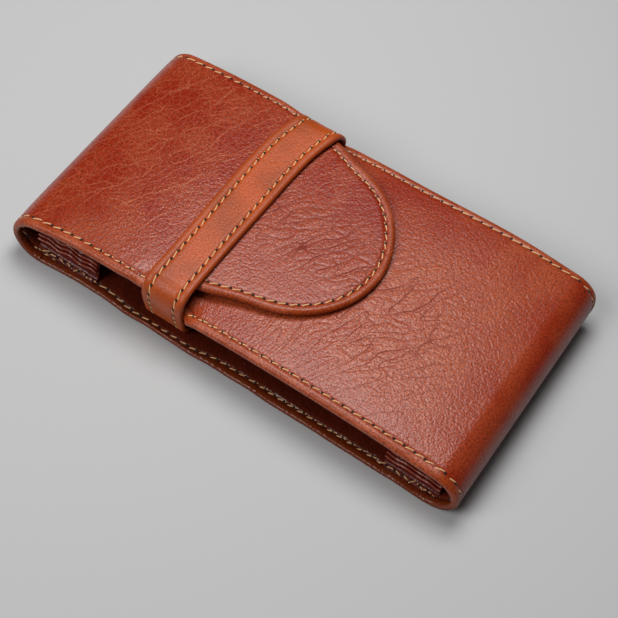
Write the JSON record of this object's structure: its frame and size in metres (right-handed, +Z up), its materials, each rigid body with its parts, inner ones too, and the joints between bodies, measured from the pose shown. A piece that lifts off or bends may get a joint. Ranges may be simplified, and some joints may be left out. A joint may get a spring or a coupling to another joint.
{
  "type": "pen case",
  "caption": "Folded leather pen case with a flap and rounded tongue held by a crossing strap, and pleated pen holders at both ends.",
  "frame": {"origin": "on the table under the middle of the closed case's bounding box", "axes": "+X along the case from the flap's fold to the other fold, +Y across it, +Z up through the flap"},
  "size_m": [0.1685, 0.0864, 0.0265],
  "materials": {
    "outer_leather": "satin, fine pebble grain",
    "lining_leather": "satin, smooth",
    "strap_leather": "matt, finely grained",
    "holder_leather": "satin, smooth",
    "thread": "waxed thread"
  },
  "bodies": {
    "base": {"back_panel": "outer_leather", "back_lining": "lining_leather", "back_thread": "thread", "flap_lower_bend": "outer_leather", "flap_lower_bend_lining": "lining_leather", "front_lower_bend": "outer_leather", "front_lower_bend_lining": "lining_leather", "head_pad": "holder_leather", "head_pad_thread": "thread", "head_near_gusset": "holder_leather", "head_far_gusset": "holder_leather", "head_dividers": "holder_leather", "foot_pad": "holder_leather", "foot_pad_thread": "thread", "foot_near_gusset": "holder_leather", "foot_far_gusset": "holder_leather", "foot_dividers": "holder_leather", "strap": "strap_leather", "strap_lining": "lining_leather", "strap_thread": "thread", "strap_anchor_thread": "thread"},
    "flap_spine": {"flap_spine": "outer_leather", "flap_spine_lining": "lining_leather", "flap_spine_thread": "thread"},
    "flap": {"flap_upper_bend": "outer_leather", "flap_upper_bend_lining": "lining_leather", "flap_panel": "outer_leather", "flap_lining": "lining_leather", "flap_thread": "thread", "tongue": "outer_leather", "tongue_lining": "lining_leather", "tongue_thread": "thread"},
    "front_spine": {"front_spine": "outer_leather", "front_spine_lining": "lining_leather", "front_spine_thread": "thread"},
    "front": {"front_upper_bend": "outer_leather", "front_upper_bend_lining": "lining_leather", "front_panel": "outer_leather", "front_lining": "lining_leather", "front_thread": "thread"},
    "head_cover": {"head_cover": "holder_leather", "head_cover_thread": "thread"},
    "foot_cover": {"foot_cover": "holder_leather", "foot_cover_thread": "thread"}
  },
  "joints": [
    {"name": "flap_spine_fold", "type": "hinge", "parent": "base", "child": "flap_spine", "pos_m": [-0.08008, 0, 0.00392], "axis": [0, -1, 0], "range_deg": [0, 88], "deforming": ["flap_lower_bend", "flap_lower_bend_lining"]},
    {"name": "flap_fold", "type": "hinge", "parent": "flap_spine", "child": "flap", "pos_m": [-0.08008, 0, 0.01708], "axis": [0, -1, 0], "range_deg": [0, 88], "deforming": ["flap_upper_bend", "flap_upper_bend_lining", "tongue", "tongue_lining", "tongue_thread"]},
    {"name": "front_spine_fold", "type": "hinge", "parent": "base", "child": "front_spine", "pos_m": [0.08022, 0, 0.00378], "axis": [0, 1, 0], "range_deg": [0, 89], "deforming": ["front_lower_bend", "front_lower_bend_lining"]},
    {"name": "front_fold", "type": "hinge", "parent": "front_spine", "child": "front", "pos_m": [0.08022, 0, 0.01622], "axis": [0, 1, 0], "range_deg": [0, 89], "deforming": ["front_upper_bend", "front_upper_bend_lining"]},
    {"name": "head_cover_lift", "type": "slide", "parent": "base", "child": "head_cover", "axis": [0, 0, 1], "range_m": [0, 0.0025], "deforming": ["head_near_gusset", "head_far_gusset"]},
    {"name": "foot_cover_lift", "type": "slide", "parent": "base", "child": "foot_cover", "axis": [0, 0, 1], "range_m": [0, 0.0016], "deforming": ["foot_near_gusset", "foot_far_gusset"]}
  ],
  "couplings": [
    {"joint": "flap_fold", "follows": "flap_spine_fold", "ratio": 1},
    {"joint": "front_fold", "follows": "front_spine_fold", "ratio": 1}
  ]
}
